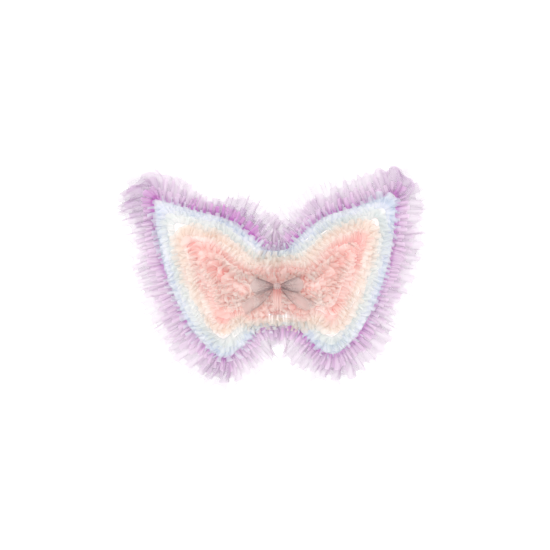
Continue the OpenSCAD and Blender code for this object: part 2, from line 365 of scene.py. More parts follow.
def row_edge(row, outer=True):
    """The outer or inner edge of a row on the right wing, from the top of the
    centre line round the tip and the lobe to the bottom of the centre line."""
    loop = front_loops(row + "_right")[-1]
    cut = loop[:, 0].min() + 1e-4
    crossings = (i for i in range(len(loop)) if loop[i, 0] < cut < loop[(i + 1) % len(loop), 0])
    loop = np.roll(loop, -next(crossings), axis=0)
    runs, run = [], [loop[0]]
    for spot in [*loop[1:], loop[0]]:
        run.append(spot)
        if spot[0] < cut:
            runs.append(np.array(run))
            run = [spot]
    runs = [r for r in runs if len(r) > 4]
    runs.sort(key=lambda r: np.linalg.norm(np.diff(r, axis=0), axis=1).sum())
    path = runs[-1] if outer else runs[0]
    return path if path[0, 1] > path[-1, 1] else path[::-1]


thread_r = 0.3 * mm
stitch_sides = 5


def stitches(path, y, length=3 * mm, gap=1.5 * mm):
    """Spots and faces of a running stitch along a line (x, z) at depth y. Each
    stitch dips into the cloth at both ends."""
    fine = 0.5 * mm
    line = evenly(path, fine)
    rings = ((0, 0.25), (0.2, 0.9), (0.8, 0.9), (1, 0.25))
    plump = max(thick for _, thick in rings)
    spots, faces = [], []
    for number in range(len(line) // round((length + gap) / fine)):
        first = round(number * (length + gap) / fine)
        last = min(first + round(length / fine), len(line) - 1)
        a, b = line[first], line[last]
        run = (b - a) / max(np.linalg.norm(b - a), 1e-9)
        faces += ring_faces(len(rings) - 1, stitch_sides, len(spots), inside_out=True, capped=True)
        for share, thick in rings:
            spot = a + (b - a) * share
            for k in range(stitch_sides):
                turn = 2 * math.pi * k / stitch_sides
                off = thread_r * thick * math.cos(turn)
                lift = thread_r * (thick * math.sin(turn) - (plump - thick))
                spots.append((spot[0] - run[1] * off, y + lift, spot[1] + run[0] * off))
    return spots, faces


def sewn_line(name, paths, y, material, body, side=1, **sizes):
    """Running stitches along several lines, as one piece."""
    spots, faces = [], []
    for path in paths:
        more, rings = stitches(path * (side, 1), y, **sizes)
        faces += [tuple(i + len(spots) for i in face) for face in rings]
        spots += more
    return solid(name, spots, faces, material, body)


bias_tape = woven("bias_tape", colour(240, 226, 238), colour(206, 184, 206), 811, slant=math.pi / 4)
lilac_thread = sewing_thread("lilac_thread", colour(206, 180, 212))
net_low, net_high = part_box("wing_net_right")
net_back = net_high.y + 0.4 * thread_r
for side, word in ((1, "right"), (-1, "left")):
    refinish(f"wire_casing_{word}", bias_tape)
    sewn_line(f"casing_stitches_{word}", [row_edge("wing_net")], net_back, lilac_thread, f"wing_{word}", side)

# ---- Wing net ----------------------------------------------------------------
# Each wing is one ply of stiff net, stretched inside the wire and sewn to its
# casing, white round the edge and dyed pink in the middle. The rows of tulle are
# sewn on it, and it puckers a little between them.


def tulle(name, pale, deep, cover, sheen=0.25):
    """Fine net with six-sided holes, pale or deep as the tone of each spot says; on the gathered strips that
    tone is painted shade and highlight.
    """
    finish = Finish(
        name, Roughness=0.5, Sheen_Weight=sheen, Sheen_Roughness=0.4, Specular_IOR_Level=0.35, Alpha=cover,
    )
    cloud = finish.noise(Scale=28.0, Detail=3.0)
    finish.tint(finish.combine("MULTIPLY_ADD", cloud, 0.5, finish.tone()), pale, deep, 0.28)
    net = finish.add("ShaderNodeTexVoronoi", finish.places["UV"], Scale=720.0, Randomness=0.35)
    net.feature = "DISTANCE_TO_EDGE"
    finish.relief(net.outputs["Distance"], 0.35, 0.4 * mm, sunk=True)
    return finish.material


def inside(spots, outline):
    """True for each spot (x, z) that lies within a closed outline."""
    a, b = outline, np.roll(outline, -1, axis=0)
    x, z = spots[:, :1], spots[:, 1:]
    crosses = (a[:, 1] > z) != (b[:, 1] > z)
    rise = np.where(b[:, 1] == a[:, 1], 1e-12, b[:, 1] - a[:, 1])
    return (crosses & (x < (b[:, 0] - a[:, 0]) * (z - a[:, 1]) / rise + a[:, 0])).sum(axis=1) % 2 == 1


def gap_to(line, spots):
    """How far each spot lies from the nearest point of a line."""
    return np.array([np.linalg.norm(line - spot, axis=1).min() for spot in spots])


stiff_net = tulle("stiff_net", colour(246, 236, 236), colour(250, 204, 196), 0.72, sheen=0.1)
panel_step = 4 * mm
pucker = 0.35 * mm
flat_margin = 12 * mm
dye_bleed = 16 * mm
dye_depth = 0.8
panel_edge = evenly_round(front_loops("wing_net_right")[-1], panel_step)
panel_x, panel_z = np.meshgrid(
    np.arange(net_low.x, net_high.x, panel_step), np.arange(net_low.z, net_high.z, panel_step),
)
panel_spots = np.stack([panel_x.ravel(), panel_z.ravel()], axis=1)
clear = gap_to(panel_edge, panel_spots) > 0.6 * panel_step
panel_spots = panel_spots[inside(panel_spots, panel_edge) & clear]
flat_spots = [Vector(map(float, spot)) for spot in np.vstack([panel_edge, panel_spots])]
around = [(i, (i + 1) % len(panel_edge)) for i in range(len(panel_edge))]
net_spots, _, net_faces, *_ = delaunay_2d_cdt(flat_spots, around, [], 1, 1e-6)
net_faces = [tuple(face) for face in net_faces]
flat = np.array([tuple(spot) for spot in net_spots])
x, z = flat.T
loose_share = np.minimum(1, gap_to(panel_edge, flat) / flat_margin)
dyed = evenly(row_edge("pink_outer"), panel_step)
within_dye = gap_to(dyed, flat) * np.where(inside(flat, dyed), 1, -1)
net_tone = dye_depth * np.clip(0.5 + within_dye / dye_bleed, 0, 1)
for side, word in ((1, "right"), (-1, "left")):
    ripple = np.sin(x / (9 * mm) + 2 * np.sin(z / (31 * mm))) + np.sin(z / (7 * mm) + side + x / (40 * mm))
    y = (net_low.y + net_high.y) / 2 + 0.5 * pucker * loose_share * ripple
    spots = np.stack([side * x, y, z], axis=1)
    panel = solid(f"net_panel_{word}", spots, net_faces, stiff_net, f"wing_{word}")
    panel.data.attributes.new("tone", "FLOAT", "POINT").data.foreach_set("value", net_tone.astype(np.float32))
    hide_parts(f"wing_net_{word}")

# ---- Lilac edge ruffles ------------------------------------------------------
# Strips of nylon tulle, gathered along one edge and sewn round each wing just
# inside the wire: two wide pale ones, a narrower one, and a short dense orchid
# one on top. They stand out past the wire in stiff loops.


def seam(row, centre, outer=True, centre_x=-4 * mm):
    """A row's edge, led on past the centre line at the height that it has there,
    so that the two wings' rows close over each other."""
    low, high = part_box(centre)
    path = row_edge(row, outer)
    path = np.vstack([[centre_x, high.z], [7 * mm, high.z], path, [7 * mm, low.z], [centre_x, low.z]])
    return smoothed(evenly(path, path_step), 8)


def outward(path, count=14):
    """The direction to the left of travel at each point: out of the wing."""
    along = np.gradient(path, axis=0)
    left = np.stack([-along[:, 1], along[:, 0]], axis=1)
    left = smoothed(left, count)
    return left / np.linalg.norm(left, axis=1, keepdims=True)


def moved(path, distance):
    """The path moved outwards, and inwards where distance is below 0, without the
    loops that a sharp corner would throw."""
    beside = path + outward(path) * distance
    clear = gap_to(path, beside) > 0.93 * abs(distance)
    return smoothed(evenly(beside[clear] if distance else beside, path_step), 6)


def eased(share):
    """The share with a slow start and a slow end."""
    return share * share * (3 - 2 * share)


def drift(rng, places, spacing, low, high):
    """A smooth random value at each place, a new one every spacing."""
    knots = rng.uniform(low, high, int(places[-1] / spacing) + 4)
    at = places / spacing + 0.5
    base = np.minimum(at.astype(int), len(knots) - 2)
    share = eased(at - base)
    return knots[base] * (1 - share) + knots[base + 1] * share


def steadied(values, count):
    """The values with their slow drift taken out."""
    return values - smoothed(values[:, None], count)[:, 0]


def ruffle(
    path, width, pitch, fold, lean, seam_y, seed, across=12, sway=0.25, ragged=0.15, deepen=0.0, back=0.0,
    corner=0.35,
):
    """One gathered strip: its grid of points, its tone, which holds painted shade and highlight, and its cut
    coordinates.

    width is the strip's, pitch the usual distance between pleats, and fold how far
    the cloth swings to and fro in them, in radians: past 1.6 the pleats overlap.
    lean is the angle at which the strip rises from the wing and seam_y the depth
    of its seam. sway leans pleats sideways, as a share of pitch, ragged shortens
    some, and deepen shifts the tone, all along or point by point. back is the share
    of a pleat that may lie behind the seam, and corner how much longer the strip
    stands out where its seam turns sharply."""
    rng = np.random.default_rng(seed)
    out = outward(path)
    steps = np.linalg.norm(np.diff(path, axis=0), axis=1)
    along = np.concatenate([[0], np.cumsum(steps)])
    step = np.gradient(along)

    def vary(pleats, low, high):
        """A random value along the strip, a new one every so many pleats."""
        return drift(rng, along, pleats * pitch, low, high)

    rim = path + out * np.reshape(width, (-1, 1)) * 0.7
    fan = np.linalg.norm(np.gradient(rim, axis=0), axis=1) / step
    fan = np.clip(smoothed(fan[:, None], 6)[:, 0], 0.8, 5) ** 0.6
    turn = 2 * math.pi * np.cumsum(fan * step / (pitch * vary(1.6, 0.6, 1.5)))
    swing = fold * vary(1.3, 0.72, 1.18)
    heading = swing * np.sin(turn) + vary(0.45, -0.32, 0.32)
    gathered = 1 / np.clip(1 - swing ** 2 / 4 + swing ** 4 / 64, 0.3, 1)
    window = int(pitch / path_step)
    drawn = steadied(np.cumsum((np.cos(heading) * gathered - 1) * step), window)
    depth = steadied(np.cumsum(np.sin(heading) * gathered * step), window) * fan
    depth = np.maximum(depth + np.std(depth) * (1.1 + 0.35 * np.abs(vary(2, -1, 1))), 0)
    full = 2.4 * np.std(depth)
    crest = np.clip(depth / full, 0, 1)
    crease = np.clip((0.75 - np.abs(np.cos(heading))) / 0.6, 0, 1)
    reach = width * (1 - ragged * vary(0.9, 0, 1) - ragged * vary(3.7, 0, 1))
    reach = reach * (0.84 + 0.16 * crest) * np.maximum(fan, 1) ** corner
    tilt = lean + vary(3, -0.18, 0.18)
    slant = pitch * sway * (vary(4.1, -1.6, 1.6) + vary(1.5, -0.7, 0.7))
    shade_along = vary(2.7, -0.16, 0.16) + vary(0.5, -0.1, 0.1) + deepen + 0.25 * np.clip(fan - 1.2, 0, 1)
    # Painted shade: dark spots deep in the folds next to the seam, here and there along the strip.
    painted_fold_shade = 1.8 * np.clip(vary(0.6, -1, 1) - 0.62, 0, 1)
    grid = np.zeros((len(path), across + 1, 3))
    tone = np.zeros((len(path), across + 1))
    cut = np.zeros((len(path), across + 1, 2))
    cut[..., 0] = along[:, None] * 2.2
    for j, v in enumerate(np.linspace(0, 1, across + 1)):
        spread = 0.2 * min(1, 6 * v) + 0.8 * v ** 0.8
        spot = along + drawn * spread + slant * v ** 1.3
        flat_reach = reach * v * np.cos(tilt * (1 - 0.35 * v))
        for axis, k in ((0, 0), (2, 1)):
            base, way = (np.interp(spot, along, line[:, k]) for line in (path, out))
            grid[:, j, axis] = base + way * flat_reach
        grid[:, j, 1] = seam_y - reach * np.sin(tilt) * (v - 0.3 * v * v) - depth * spread + back * v * full
        # The tone is painted shade and highlight: deeper at the seam, in the creases where pleats turn
        # edge-on and in the valleys between pleats, darkest in the painted fold shade by the seam, and paler
        # towards the free edge as a painted highlight. shade_along adds patchy dye and random tone, and
        # deepens the tone where the strip fans out round a sharp turn.
        shade = 0.42 * (1 - v) ** 1.5 + (0.24 - 0.06 * v) * crease + 0.14 * (1 - crest) + painted_fold_shade * (1 - v) ** 4
        tone[:, j] = np.clip(shade + shade_along, 0, 1)
        cut[:, j, 1] = v * width
    return grid, tone, cut


def cloth(name, patches, material, side=1):
    """One mesh of gathered strips. A side of -1 makes it for the left wing."""
    spots, faces, tones, cuts = [], [], [], []
    total = 0
    for grid, tone, cut in patches:
        rows, columns = grid.shape[:2]
        spots.append((grid * (side, 1, 1)).reshape(-1, 3))
        tones.append(tone.reshape(-1))
        cuts.append(cut.reshape(-1, 2))
        index = total + np.arange(rows * columns).reshape(rows, columns)
        corners = (index[:-1, :-1], index[:-1, 1:], index[1:, 1:], index[1:, :-1])
        quads = np.stack(corners, axis=-1).reshape(-1, 4)
        faces.append(quads if side > 0 else quads[:, ::-1])
        total += rows * columns
    spots, faces, tones, cuts = (np.concatenate(x) for x in (spots, faces, tones, cuts))
    piece = smooth_mesh(name, spots.tolist(), faces.tolist(), material)
    mesh = piece.data
    mesh.attributes.new("tone", "FLOAT", "POINT").data.foreach_set("value", tones.astype(np.float32))
    corner_of = np.zeros(len(mesh.loops), np.int32)
    mesh.loops.foreach_get("vertex_index", corner_of)
    mesh.uv_layers.new(name="cut").data.foreach_set("uv", cuts[corner_of].astype(np.float32).reshape(-1))
    return piece


def cut_size(patches):
    """The flat strip's width, from seam to free edge, and the length that holds the cloth's area."""
    across, area = [], 0
    for grid, _, _ in patches:
        down, side = np.diff(grid, axis=0)[:, :-1], np.diff(grid, axis=1)[:-1]
        area += np.linalg.norm(np.cross(down, side), axis=2).sum()
        across.append(np.linalg.norm(np.diff(grid, axis=1), axis=2).sum(axis=1))
    width = float(np.concatenate(across).mean())
    return width, float(area) / width


pad_low, pad_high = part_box("front_patch")
step_out = 3 * mm
over_felt = 0.4 * mm
strap_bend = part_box("arm_strap_right")[1].z - 10 * mm
bow_room = 13 * mm
bow_fade = 10 * mm
loop_low, loop_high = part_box("bow_loop_right")
tail_low, tail_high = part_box("bow_tail_right")
# Where each half of the bow lies, from end to end, and half its width. A fold
# slides it some way out along the wing.
bow_lies = (
    ((loop_low.x, 0), (loop_high.x + 8 * mm, 0), loop_high.z),
    ((tail_low.x, -4 * mm), (tail_high.x + 2 * mm, tail_low.z + 14 * mm), 16 * mm),
)


def under_bow(x, z):
    """From 1 where the bow presses on the rows down to 0 away from it."""
    share = np.zeros(x.shape)
    for start, end, half in bow_lies:
        run = np.subtract(end, start)
        at = np.clip(((x - start[0]) * run[0] + (z - start[1]) * run[1]) / (run @ run), 0, 1)
        away = np.hypot(x - start[0] - at * run[0], z - start[1] - at * run[1])
        share = np.maximum(share, np.clip((half + bow_fade - away) / bow_fade, 0, 1))
    return eased(share)


def sew(name, patches, material, side, node=None):
    """Makes a strip and works out the size of its cut. It steps out over the pad
    and the straps, lies low under the bow, and stands for a CAD node if one is
    named."""
    word = "right" if side > 0 else "left"
    for grid, _, _ in patches:
        x, y, z = grid[..., 0], grid[..., 1], grid[..., 2]
        beside_pad = np.clip((pad_high.x + 2 * step_out - np.abs(x)) / (2 * step_out), 0, 1)
        by_straps = np.clip((strap_bend + 2 * step_out - np.abs(z)) / (2 * step_out), 0, 1)
        step = max(0, y.max() - pad_low.y + over_felt) * eased(beside_pad) * by_straps
        foot = np.minimum(net_low.y, y.max())
        low = foot + (y - foot) * min(1, bow_room / (foot - y.min()))
        y += under_bow(x, z) * (low - y) - step
    piece = cloth(f"{name}_{word}", patches, material, side)
    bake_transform(piece)
    cut_size(patches)
    if node:
        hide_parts(f"{node}_{word}")


net_y = net_low.y
casing_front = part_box("wire_casing_right")[0].y
lilac_pale = tulle("lilac_tulle_pale", colour(226, 208, 224), colour(180, 150, 184), 0.37)
lilac_dense = tulle("lilac_tulle", colour(230, 202, 228), colour(178, 134, 184), 0.4)
orchid = tulle("orchid_tulle", colour(244, 214, 242), colour(234, 126, 228), 0.42)
lilac_seam = seam("blue_ruffle", "blue_centre")
edge_reach = row_edge("lilac_edge")[:, 0].max() - lilac_seam[:, 0].max()


def share_along(path):
    """From 0 at the path's start to 1 at its end."""
    return np.linspace(0, 1, len(path))


def near(path, place, spread):
    """From 1 at a place along the path, given as a share, down to 0 away from it."""
    return np.exp(-((share_along(path) - place) / spread) ** 2)


# The left wing's upper edge is the shortest and the brightest orchid. Elsewhere
# the dye is patchy.
upper = {1: (0.35, 0.0), -1: (1.0, 0.5)}
lilac_layer = 0.5 * mm
for side, seed in ((1, 11), (-1, 12)):
    glow, shorter = upper[side]
    seam_y = casing_front - 2 * lilac_layer
    dye = drift(np.random.default_rng(seed), share_along(lilac_seam), 0.05, -0.22, 0.3)
    bright = glow * near(lilac_seam, 0.15, 0.1) + dye
    ends_trim = 0.4 * (near(lilac_seam, 0, 0.03) + near(lilac_seam, 1, 0.025))
    trim = 1 - shorter * near(lilac_seam, 0.22, 0.06) - ends_trim
    for name, material, width, pitch, fold, lean, deepen, ragged, back, corner, more, node in (
        ("lilac_long", lilac_pale, 1.26 * trim, 26, 1.6, 0.02, 0, 0.17, 0.3, 0, 0, "lilac_edge"),
        ("lilac_second", lilac_pale, 1.16 * trim, 20, 1.65, 0.12, 0.3 * bright, 0.26, 0, 0, 10, None),
        ("lilac_middle", lilac_dense, 0.8 * trim ** 0.6, 15, 1.65, 0.2, 0.8 * bright, 0.3, 0, 0.35, 20, None),
        ("orchid_row", orchid, 0.52, 11, 1.7, 0.3, bright - 0.2, 0.3, 0, 0.35, 40, None),
    ):
        strip = ruffle(
            lilac_seam, edge_reach * width, pitch * mm, fold, lean, seam_y, seed + more, ragged=ragged,
            deepen=deepen, back=back, corner=corner,
        )
        sew(name, [strip], material, side, node)
        seam_y -= lilac_layer

# ---- Blue, cream and peach rows ----------------------------------------------
# Each row is two or three gathered strips of tulle sewn flat on the net, one
# above the other, so that the free edge of one covers the seam of the next.

blue = tulle("blue_tulle", colour(246, 250, 255), colour(200, 216, 240), 0.4)
cream = tulle("cream_tulle", colour(242, 246, 242), colour(208, 222, 222), 0.4)
peach = tulle("peach_tulle", colour(251, 240, 230), colour(248, 216, 196), 0.42)

blue_seam = seam("cream_ruffle", "cream_centre")
cream_seam = seam("peach_ruffle", "peach_centre")
peach_seam = seam("peach_ruffle", "pink_centre", outer=False)


def wandering(path, seed, amount):
    """The path led a little in and out, as a hand-guided seam runs."""
    rng = np.random.default_rng(seed)
    along = share_along(path) * len(path) * path_step
    sideways = drift(rng, along, 45 * mm, -amount, amount)
    fade = np.minimum(1, np.minimum(along, along[::-1]) / (30 * mm))
    return smoothed(path + outward(path) * (sideways * fade)[:, None], 4)


def sew_row(name, material, base, shift, width, trim, side, seed, slot, node, pitch, lean, **pleats):
    """Sews on a row. Its seam lies shift outside the base line, and trim is how
    much narrower the row gets between the two lower lobes."""
    line = wandering(moved(base, shift), seed, 5 * mm)
    width = width * (1 - trim * near(line, 0.96, 0.05))
    strip = ruffle(line, width, pitch, 1.6, lean, net_y, seed, across=10, **pleats)
    sew(name, [strip], material, side, node)


# Between the two lower lobes the rows are narrower, so that the pink ends higher.
crotch_trim = 0.4
for side, seed in ((1, 111), (-1, 112)):
    for row, material, base, shift, width, trim, node in (
        ("blue_outer", blue, blue_seam, 12 * mm, 27 * mm, 0, "blue_ruffle"),
        ("blue_middle", blue, blue_seam, 6 * mm, 24 * mm, 0, None),
        ("blue_inner", blue, blue_seam, 0, 26 * mm, 0, None),
        ("cream_outer", cream, cream_seam, 7 * mm, 24 * mm, crotch_trim, "cream_ruffle"),
        ("cream_inner", cream, cream_seam, 0, 24 * mm, crotch_trim, None),
        ("peach_outer", peach, peach_seam, 14 * mm, 26 * mm, crotch_trim, "peach_ruffle"),
        ("peach_middle", peach, peach_seam, 7 * mm, 26 * mm, crotch_trim, None),
        ("peach_inner", peach, peach_seam, 0, 26 * mm, crotch_trim, None),
    ):
        seed += 10
        sew_row(
            row, material, base, shift, width, trim, side, seed, f"{row.split('_')[0]}_tulle", node,
            pitch=13 * mm, lean=0.3, sway=0.35, ragged=0.35,
        )

# ---- Pink rows ---------------------------------------------------------------
# The middle of each wing is filled with pink tulle in short rows that stand up,
# ending in a strip that is wound round and round like a rose.

pink = tulle("pink_tulle", colour(255, 244, 238), colour(255, 196, 186), 0.42)
coral = tulle("coral_tulle", colour(255, 228, 220), colour(242, 138, 132), 0.42)


def rose_path(row, turns, last, seed):
    """A spiral from a row's outline in to its middle, travelling as the seams do."""
    loop = front_loops(row + "_right")[-1]
    loop = evenly_round(loop, 2 * mm)
    area = np.sum(loop[:, 0] * np.roll(loop[:, 1], -1) - np.roll(loop[:, 0], -1) * loop[:, 1])
    loop = loop[::-1] if area > 0 else loop
    loop = np.roll(loop, -int(loop[:, 0].argmin()), axis=0)
    middle = loop.mean(axis=0)
    count = int(turns * len(loop))
    share = np.linspace(1.04, last, count)
    path = middle + (loop[np.arange(count) % len(loop)] - middle) * share[:, None]
    return wandering(smoothed(evenly(path, path_step), 10), seed, 3 * mm)


# At the waist, upright strips fill the way from the pad to the rose.
waist_rows = 8
waist_start = 22 * mm
waist_step = 10 * mm
waist_top, waist_bottom = 30 * mm, -34 * mm
upright = {"sway": 0.4, "ragged": 0.25}
for side, seed in ((1, 311), (-1, 312)):
    for row, material, shift, width, node in (
        ("pink_first", pink, -7 * mm, 24 * mm, "pink_outer"),
        ("coral_row", coral, -14 * mm, 22 * mm, "pink_middle"),
        ("pink_second", pink, -21 * mm, 22 * mm, None),
        ("pink_third", pink, -33 * mm, 22 * mm, None),
    ):
        seed += 10
        sew_row(
            row, material, peach_seam, shift, width, crotch_trim, side, seed, "pink_tulle", node,
            pitch=11 * mm, lean=0.5, **upright,
        )
    coil = rose_path("pink_inner", 5.6, 0.1, seed)
    rose = ruffle(coil, 22 * mm, 11 * mm, 1.6, 0.6, net_y, seed + 20, across=10, **upright)
    sew("pink_rose", [rose], pink, side, "pink_inner")
    coil = rose_path("pink_inner", 3.3, 0.2, seed + 5)
    rose = ruffle(coil, 20 * mm, 15 * mm, 1.5, 0.75, net_y, seed + 30, across=10, **upright)
    sew("coral_rose", [rose], coral, side)
    waist = []
    for count in range(waist_rows):
        x = waist_start + count * waist_step
        bottom = waist_bottom - 0.25 * count * waist_step
        line = wandering(evenly([(x, waist_top), (x, bottom)], path_step), seed + 40 + count, 2 * mm)
        waist.append(ruffle(line, 20 * mm, 12 * mm, 1.6, 0.5, net_y, seed + 50 + count, across=10, **upright))
    sew("pink_waist", waist, pink, side)

# ---- Seams on the net --------------------------------------------------------
# The rows are held on the net by running stitches of pink polyester thread, which
# show from behind.

pink_thread = sewing_thread("pink_thread", colour(236, 178, 178))
for side, word in ((1, "right"), (-1, "left")):
    kept = [line[line[:, 0] > 24 * mm] for line in (lilac_seam, blue_seam, cream_seam, peach_seam)]
    sewn_line(
        f"row_stitches_{word}", kept, net_back, pink_thread, f"wing_{word}", side, length=4 * mm, gap=2 * mm,
    )

# ---- Rows on the pad ---------------------------------------------------------
# Short strips of the same tulle are sewn across the front of the pad, so that
# no gap shows between the wings. Under the bow the pink hangs in long pleats.


def across_pad(z, up, wide=8.5 * mm):
    """A seam across the pad: to the right for a strip that stands up, and back
    for one that hangs down."""
    line = [(-wide, z), (wide, z)] if up else [(wide, z), (-wide, z)]
    return evenly(line, path_step)


def sew_on_pad(row, patches, material):
    """Makes a row of the pad, works out the size of its cut, and has it stand for its CAD node."""
    piece = cloth(f"{row}_across_pad", patches, material)
    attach(piece, "root")
    cut_size(patches)
    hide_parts(f"{row}_centre")


for row, material, inner, overlap in (
    ("lilac", lilac_dense, "blue_centre", -26 * mm),
    ("blue", blue, "cream_centre", 9 * mm),
    ("cream", cream, "peach_centre", 9 * mm),
    ("peach", peach, "pink_centre", 9 * mm),
):
    low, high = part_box(f"{row}_centre")
    inner_low, inner_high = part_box(inner)
    seed = 500 + len(row)
    patches = []
    above, below = high.z - inner_high.z, inner_low.z - low.z
    for z, up, tall in ((inner_high.z, True, above), (inner_low.z, False, below)):
        line = across_pad(z, up)
        patches.append(ruffle(line, tall + overlap, 6 * mm, 1.5, 0.15, pad_low.y, seed, ragged=0.2))
        seed += 1
    sew_on_pad(row, patches, material)

pink_low, pink_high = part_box("pink_centre")
drop = -pink_low.z
sew_on_pad("pink", [
    ruffle(across_pad(8 * mm, True), pink_high.z, 5 * mm, 1.5, 0.3, pad_low.y, 601, ragged=0.2),
    ruffle(across_pad(-6 * mm, False), drop - 8 * mm, 5 * mm, 1.4, 0.25, pad_low.y - 5 * mm, 602, ragged=0.1),
    ruffle(across_pad(-2 * mm, False), 0.8 * drop, 6 * mm, 1.5, 0.3, pad_low.y - 6 * mm, 603, ragged=0.1),
], coral)

# ---- Felt patches and wadding ------------------------------------------------
# Two oblong patches of blush felt, one behind and one in front, are sewn together
# round their edges with a strip of wadding and the two wire channels between them.


def felt(name, light, dark):
    """Matted fibres, with a fine nap."""
    finish = Finish(name, Roughness=0.95, Sheen_Weight=0.4)
    stretched = finish.add("ShaderNodeMapping", finish.places["Object"], Scale=(1.0, 1.0, 0.35))
    fibres = finish.noise(
        stretched.outputs["Vector"], Scale=1400.0, Detail=6.0, Roughness=0.75, Distortion=1.5,
    )
    blotches = finish.noise(Scale=90.0, Detail=3.0)
    finish.tint(finish.combine("MULTIPLY_ADD", blotches, 0.6, fibres), dark, light, 0.55)
    finish.relief(fibres, 0.7, 0.5 * mm)
    return finish.material


def oblong(low, high, corner, inset=0.0, step=2 * mm):
    """The outline (x, z) of a patch with round corners, going round from its right side up."""
    half_x, half_z = (high.x - low.x) / 2 - inset, (high.z - low.z) / 2 - inset
    round_off = max(corner - inset, 1 * mm)
    centre = np.array([(high.x + low.x) / 2, (high.z + low.z) / 2])
    arc = [(math.cos(a), math.sin(a)) for a in np.linspace(0, math.pi / 2, 7)]
    corners = []
    for quarter, (sx, sz) in enumerate(((1, 1), (-1, 1), (-1, -1), (1, -1))):
        for c, s in (arc if quarter % 2 == 0 else arc[::-1]):
            x, z = half_x - round_off + round_off * c, half_z - round_off + round_off * s
            corners.append((sx * x, sz * z))
    return centre + evenly_round(np.array(corners), step)


def patch(name, node, material, corner, crown, groove_at, outer_y, inner_y):
    """A closed pad. Its outer face is crowned and drawn in along a seam at
    groove_at, a share of the way out, and its edge is rounded."""
    low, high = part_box(node)
    rim_line = oblong(low, high, corner)
    centre = rim_line.mean(axis=0)
    middle_y, half_t = (outer_y + inner_y) / 2, (outer_y - inner_y) / 2
    away = 1 if half_t > 0 else -1
    round_edge, groove_spread, groove_depth, gathers = 0.1, 0.035, 0.6, 0.24
    shares = [*np.linspace(0.1, 0.9, 17), 0.94, 0.97, 0.99, 1.0]
    # The rings go out over the outer face and back in over the inner one.
    spots = []
    for face, share in [(1, share) for share in shares] + [(-1, share) for share in shares[-2::-1]]:
        edge = math.sqrt(max(0.0, 1 - max(0.0, (share - 1 + round_edge) / round_edge) ** 2))
        groove = math.exp(-((share - groove_at) / groove_spread) ** 2) if face > 0 else 0.0
        swell = crown * (1 - (share / groove_at) ** 4) if face > 0 and share < groove_at else 0.0
        for index, spot in enumerate(rim_line):
            x, z = centre + (spot - centre) * share
            drawn_in = groove * (groove_depth - gathers * math.sin(index * 1.9))
            spots.append((x, middle_y + half_t * (face * edge - drawn_in) + away * swell, z))
    count, last = len(rim_line), len(spots) - len(rim_line)
    spots.append((centre[0], middle_y + half_t + away * crown, centre[1]))
    spots.append((centre[0], middle_y - half_t, centre[1]))
    faces = ring_faces(2 * len(shares) - 2, count, inside_out=away < 0)
    for i in range(count):
        k = (i + 1) % count
        faces.append((last + count, k, i)[::away])
        faces.append((last + count + 1, last + i, last + k)[::away])
    piece = solid(name, spots, faces, material, "root")
    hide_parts(node)


blush_felt = felt("blush_felt", colour(244, 212, 210), colour(212, 170, 172))
wadding = felt("polyester_wadding", colour(252, 250, 246), colour(226, 222, 216))
corner_r = 8 * mm
seam_in = 3 * mm
back_low, back_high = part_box("back_patch")
patch("felt_back", "back_patch", blush_felt, corner_r, 0.5 * mm, 0.86, back_high.y, back_low.y)
patch("felt_front", "front_patch", blush_felt, corner_r, 0.2 * mm, 0.86, pad_low.y, pad_high.y)
fill_low, fill_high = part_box("pad_filling")
patch("wadding_strip", "pad_filling", wadding, 3 * mm, 0.0, 0.5, fill_high.y, fill_low.y)
hem = oblong(back_low, back_high, corner_r, seam_in, 1 * mm)
sewn_line(
    "pad_stitches", [np.vstack([hem, hem[:1]])], back_high.y + 0.1 * thread_r, pink_thread, "root",
    length=3.5 * mm, gap=2 * mm,
)

# ---- Wire channels -----------------------------------------------------------
# Two lengths of cotton tape are sewn into tubes inside the pad. The straight
# inner sides of the wire loops turn in them.

channel_tape = woven("channel_tape", colour(250, 246, 246), colour(224, 216, 220), 710)
for word in ("left", "right"):
    refinish(f"wire_channel_{word}", channel_tape)

# ---- Arm straps --------------------------------------------------------------
# White ribbed elastic, 8 mm wide. Each loop's two ends go in between the patches
# and are held by bar tacks of pink thread.

strap_splay = math.radians(20)
strap_w = 8 * mm
strap_t = 1.2 * mm
ribs = 8
elastic = woven("ribbed_elastic", colour(242, 242, 244), colour(196, 196, 204), 558, roughness=0.7)
ends_low, ends_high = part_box("strap_ends")
strap_x = ends_high.x - strap_w / 2
strap_y = (ends_low.y + ends_high.y) / 2


def strap_line(node):
    """The middle line of an arm strap, as depth and height in the plane it was cut in."""
    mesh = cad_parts[node].data
    c, s = math.cos(strap_splay), math.sin(strap_splay)
    local = []
    for vertex in mesh.vertices:
        x, y = vertex.co.x - strap_x, vertex.co.y - strap_y
        local.append((x * c - y * s, x * s + y * c, vertex.co.z))
    loop = flat_loops(mesh, local)[-1]
    steps = np.linalg.norm(np.roll(loop, -1, axis=0) - loop, axis=1)
    ends = np.where(steps < 1.05 * strap_t)[0]
    loop = np.roll(loop, -(ends[0] + 1), axis=0)
    half = len(loop) // 2
    line = (loop[:half] + loop[::-1][:half]) / 2
    return line if line[0, 1] > 0 else line[::-1]


def band(line, side=1, splay=0.0, start=0):
    """Spots and faces of ribbed elastic along a line of depth and height."""
    profile = []
    for u in np.linspace(0, 1, 4 * ribs + 1):
        profile.append(((u - 0.5) * strap_w, strap_t * (0.39 + 0.11 * math.cos(2 * math.pi * ribs * u))))
    profile += [(x, -t) for x, t in reversed(profile)]
    along = np.gradient(line, axis=0)
    along /= np.linalg.norm(along, axis=1, keepdims=True)
    spots = []
    for number, ((y, z), (ty, tz)) in enumerate(zip(line, along)):
        for x, t in profile:
            off = t + 0.036 * mm * math.sin(number * 1.3 + x / (2 * mm))
            deep = y - tz * off
            spots.append((
                side * (strap_x + x * math.cos(splay) + deep * math.sin(splay)),
                strap_y - x * math.sin(splay) + deep * math.cos(splay), z + ty * off,
            ))
    return spots, ring_faces(len(line) - 1, len(profile), start, inside_out=side < 0, capped=True)


